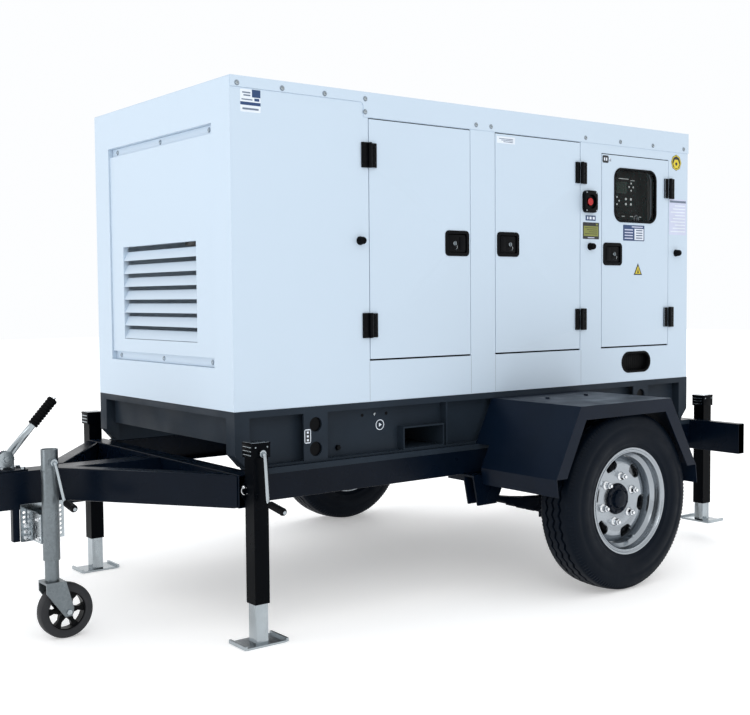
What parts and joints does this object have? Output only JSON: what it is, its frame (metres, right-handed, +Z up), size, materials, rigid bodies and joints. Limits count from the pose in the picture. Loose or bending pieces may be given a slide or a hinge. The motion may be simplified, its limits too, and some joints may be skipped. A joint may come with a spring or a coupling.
{
  "type": "towable diesel generator",
  "caption": "Soundproof diesel generator on a skid base, carried by a single-axle trailer with drawbar, jockey wheel, parking jacks and hinged service doors.",
  "frame": {"origin": "centre of the footprint at ground level", "axes": "+X forward along the drawbar, +Y to the control door side, +Z up"},
  "size_m": [4.076, 2.18, 2.014],
  "materials": {
    "canopy_paint": "satin powder coat",
    "skid_paint": "satin powder coat",
    "chassis_paint": "gloss enamel",
    "guard_paint": "satin powder coat",
    "jack_paint": "gloss enamel",
    "zinc": "zinc plated",
    "galvanised": "galvanised",
    "black_plastic": "moulded",
    "rubber": "moulded",
    "tyre": "moulded",
    "rim_silver": "silver enamel",
    "window_glass": "tinted",
    "stop_red": "moulded",
    "engine_iron": "painted casting",
    "alternator_paint": "painted casting",
    "radiator_black": "finned core",
    "silencer_steel": "aluminised steel",
    "battery_plastic": "moulded",
    "cabinet_paint": "powder coat"
  },
  "bodies": {
    "trailer": {"chassis_side_rails": "chassis_paint", "chassis_crossmembers": "chassis_paint", "drawbar_arms": "chassis_paint", "drawbar_beam": "chassis_paint", "jack_mounts": "chassis_paint", "axle_beam": "chassis_paint", "leaf_springs": "chassis_paint", "mudguards": "guard_paint", "coupling_housing": "chassis_paint", "jockey_clamp": "galvanised", "skid_frame": "skid_paint", "fuel_tank": "skid_paint", "canopy_roof": "canopy_paint", "canopy_wall_left": "canopy_paint", "canopy_wall_right": "canopy_paint", "canopy_front_wall": "canopy_paint", "front_louvre_panel": "canopy_paint", "canopy_rear_wall": "canopy_paint", "hinge_wall_leaves": "black_plastic", "rubber_bumpers": "rubber", "e_stop_box": "black_plastic", "engine": "engine_iron", "alternator": "alternator_paint", "radiator": "radiator_black", "silencer": "silencer_steel", "battery": "battery_plastic", "control_cabinet": "cabinet_paint"},
    "draw_shaft": {"tow_eye": "zinc"},
    "handbrake": {"handbrake_lever": "zinc"},
    "jockey_stem": {"jockey_stem": "galvanised"},
    "jockey_fork": {"jockey_fork": "galvanised"},
    "jockey_wheel": {"jockey_wheel": "rubber"},
    "jockey_crank": {"jockey_crank": "zinc"},
    "jack_front_left_tube": {"jack_front_left_tube": "jack_paint"},
    "jack_front_left_leg": {"jack_front_left_leg": "zinc"},
    "jack_front_left_crank": {"jack_front_left_crank": "zinc"},
    "jack_front_right_tube": {"jack_front_right_tube": "jack_paint"},
    "jack_front_right_leg": {"jack_front_right_leg": "zinc"},
    "jack_front_right_crank": {"jack_front_right_crank": "zinc"},
    "jack_rear_left_tube": {"jack_rear_left_tube": "jack_paint"},
    "jack_rear_left_leg": {"jack_rear_left_leg": "zinc"},
    "jack_rear_left_crank": {"jack_rear_left_crank": "zinc"},
    "jack_rear_right_tube": {"jack_rear_right_tube": "jack_paint"},
    "jack_rear_right_leg": {"jack_rear_right_leg": "zinc"},
    "jack_rear_right_crank": {"jack_rear_right_crank": "zinc"},
    "wheel_left": {"tyre_left": "tyre", "rim_left": "rim_silver"},
    "wheel_right": {"tyre_right": "tyre", "rim_right": "rim_silver"},
    "door_front_left": {"door_front_left": "canopy_paint"},
    "door_mid_left": {"door_mid_left": "canopy_paint"},
    "door_control": {"door_control": "canopy_paint", "control_window": "window_glass"},
    "door_front_right": {"door_front_right": "canopy_paint"},
    "door_mid_right": {"door_mid_right": "canopy_paint"},
    "latch_front_left": {"latch_front_left": "black_plastic"},
    "latch_mid_left": {"latch_mid_left": "black_plastic"},
    "latch_control": {"latch_control": "black_plastic"},
    "e_stop_button": {"e_stop_button": "stop_red"},
    "fan": {"fan": "black_plastic"}
  },
  "joints": [
    {"name": "draw_shaft_slide", "type": "slide", "parent": "trailer", "child": "draw_shaft", "axis": [1, 0, 0], "range_m": [-0.055, 0], "stiffness_N_per_m": 3000, "springref_m": 0.02},
    {"name": "handbrake_pivot", "type": "hinge", "parent": "trailer", "child": "handbrake", "pos_m": [1.438, 0, 0.64], "axis": [0, -1, 0], "range_deg": [-30, 38]},
    {"name": "jockey_stem_slide", "type": "slide", "parent": "trailer", "child": "jockey_stem", "axis": [0, 0, 1], "range_m": [0, 0.07]},
    {"name": "jockey_crank_turn", "type": "hinge", "parent": "trailer", "child": "jockey_crank", "pos_m": [1.348, 0.226, 0.645], "axis": [0, 1, 0], "range_deg": [0, 4011]},
    {"name": "jockey_castor", "type": "hinge", "parent": "jockey_stem", "child": "jockey_fork", "pos_m": [1.348, 0.2, 0.228], "axis": [0, 0, 1], "continuous": true},
    {"name": "jockey_wheel_spin", "type": "hinge", "parent": "jockey_fork", "child": "jockey_wheel", "pos_m": [1.303, 0.2, 0.1], "axis": [0, 1, 0], "continuous": true},
    {"name": "jack_front_left_swivel", "type": "hinge", "parent": "trailer", "child": "jack_front_left_tube", "pos_m": [0.794, 0.705, 0.54], "axis": [0, 1, 0], "range_deg": [0, 90]},
    {"name": "jack_front_left_leg_slide", "type": "slide", "parent": "jack_front_left_tube", "child": "jack_front_left_leg", "axis": [0, 0, 1], "range_m": [0, 0.1]},
    {"name": "jack_front_left_crank_turn", "type": "hinge", "parent": "jack_front_left_tube", "child": "jack_front_left_crank", "pos_m": [0.794, 0.732, 0.68], "axis": [0, 1, 0], "range_deg": [0, 5730]},
    {"name": "jack_front_right_swivel", "type": "hinge", "parent": "trailer", "child": "jack_front_right_tube", "pos_m": [0.794, -0.705, 0.54], "axis": [0, 1, 0], "range_deg": [0, 90]},
    {"name": "jack_front_right_leg_slide", "type": "slide", "parent": "jack_front_right_tube", "child": "jack_front_right_leg", "axis": [0, 0, 1], "range_m": [0, 0.1]},
    {"name": "jack_front_right_crank_turn", "type": "hinge", "parent": "jack_front_right_tube", "child": "jack_front_right_crank", "pos_m": [0.794, -0.732, 0.68], "axis": [0, -1, 0], "range_deg": [0, 5730]},
    {"name": "jack_rear_left_swivel", "type": "hinge", "parent": "trailer", "child": "jack_rear_left_tube", "pos_m": [-1.897, 0.6, 0.54], "axis": [-1, 0, 0], "range_deg": [0, 90]},
    {"name": "jack_rear_left_leg_slide", "type": "slide", "parent": "jack_rear_left_tube", "child": "jack_rear_left_leg", "axis": [0, 0, 1], "range_m": [-0.08, 0.075]},
    {"name": "jack_rear_left_crank_turn", "type": "hinge", "parent": "jack_rear_left_tube", "child": "jack_rear_left_crank", "pos_m": [-1.924, 0.6, 0.68], "axis": [-1, 0, 0], "range_deg": [-4584, 4298]},
    {"name": "jack_rear_right_swivel", "type": "hinge", "parent": "trailer", "child": "jack_rear_right_tube", "pos_m": [-1.897, -0.6, 0.54], "axis": [1, 0, 0], "range_deg": [0, 90]},
    {"name": "jack_rear_right_leg_slide", "type": "slide", "parent": "jack_rear_right_tube", "child": "jack_rear_right_leg", "axis": [0, 0, 1], "range_m": [-0.08, 0.075]},
    {"name": "jack_rear_right_crank_turn", "type": "hinge", "parent": "jack_rear_right_tube", "child": "jack_rear_right_crank", "pos_m": [-1.924, -0.6, 0.68], "axis": [-1, 0, 0], "range_deg": [-4584, 4298]},
    {"name": "wheel_left_spin", "type": "hinge", "parent": "trailer", "child": "wheel_left", "pos_m": [-0.781, 0.984, 0.373], "axis": [0, 1, 0], "continuous": true},
    {"name": "wheel_right_spin", "type": "hinge", "parent": "trailer", "child": "wheel_right", "pos_m": [-0.781, -0.984, 0.373], "axis": [0, 1, 0], "continuous": true},
    {"name": "door_front_left_hinge", "type": "hinge", "parent": "trailer", "child": "door_front_left", "pos_m": [0.193, 0.592, 1.445], "axis": [0, 0, -1], "range_deg": [0, 165]},
    {"name": "door_mid_left_hinge", "type": "hinge", "parent": "trailer", "child": "door_mid_left", "pos_m": [-1.014, 0.592, 1.445], "axis": [0, 0, 1], "range_deg": [0, 120]},
    {"name": "door_control_hinge", "type": "hinge", "parent": "trailer", "child": "door_control", "pos_m": [-1.644, 0.592, 1.445], "axis": [0, 0, 1], "range_deg": [0, 165]},
    {"name": "door_front_right_hinge", "type": "hinge", "parent": "trailer", "child": "door_front_right", "pos_m": [0.193, -0.592, 1.445], "axis": [0, 0, 1], "range_deg": [0, 165]},
    {"name": "door_mid_right_hinge", "type": "hinge", "parent": "trailer", "child": "door_mid_right", "pos_m": [-1.014, -0.592, 1.445], "axis": [0, 0, -1], "range_deg": [0, 165]},
    {"name": "latch_front_left_paddle", "type": "hinge", "parent": "door_front_left", "child": "latch_front_left", "pos_m": [-0.22, 0.576, 1.442], "axis": [0, 0, -1], "range_deg": [0, 35], "stiffness_Nm_per_rad": 0.6, "springref_deg": -5.73},
    {"name": "latch_mid_left_paddle", "type": "hinge", "parent": "door_mid_left", "child": "latch_mid_left", "pos_m": [-0.602, 0.576, 1.444], "axis": [0, 0, 1], "range_deg": [0, 35], "stiffness_Nm_per_rad": 0.6, "springref_deg": -5.73},
    {"name": "latch_control_paddle", "type": "hinge", "parent": "door_control", "child": "latch_control", "pos_m": [-1.278, 0.576, 1.414], "axis": [0, 0, 1], "range_deg": [0, 35], "stiffness_Nm_per_rad": 0.6, "springref_deg": -5.73},
    {"name": "e_stop_press", "type": "slide", "parent": "trailer", "child": "e_stop_button", "axis": [0, -1, 0], "range_m": [0, 0.003], "stiffness_N_per_m": 600, "springref_m": -0.002},
    {"name": "fan_spin", "type": "hinge", "parent": "trailer", "child": "fan", "pos_m": [0.036, 0, 1.2], "axis": [1, 0, 0], "continuous": true}
  ],
  "couplings": [
    {"joint": "jockey_crank_turn", "follows": "jockey_stem_slide", "rad_per_m": 1000},
    {"joint": "jack_front_left_crank_turn", "follows": "jack_front_left_leg_slide", "rad_per_m": 1000},
    {"joint": "jack_front_right_crank_turn", "follows": "jack_front_right_leg_slide", "rad_per_m": 1000},
    {"joint": "jack_rear_left_crank_turn", "follows": "jack_rear_left_leg_slide", "rad_per_m": 1000},
    {"joint": "jack_rear_right_crank_turn", "follows": "jack_rear_right_leg_slide", "rad_per_m": 1000}
  ]
}
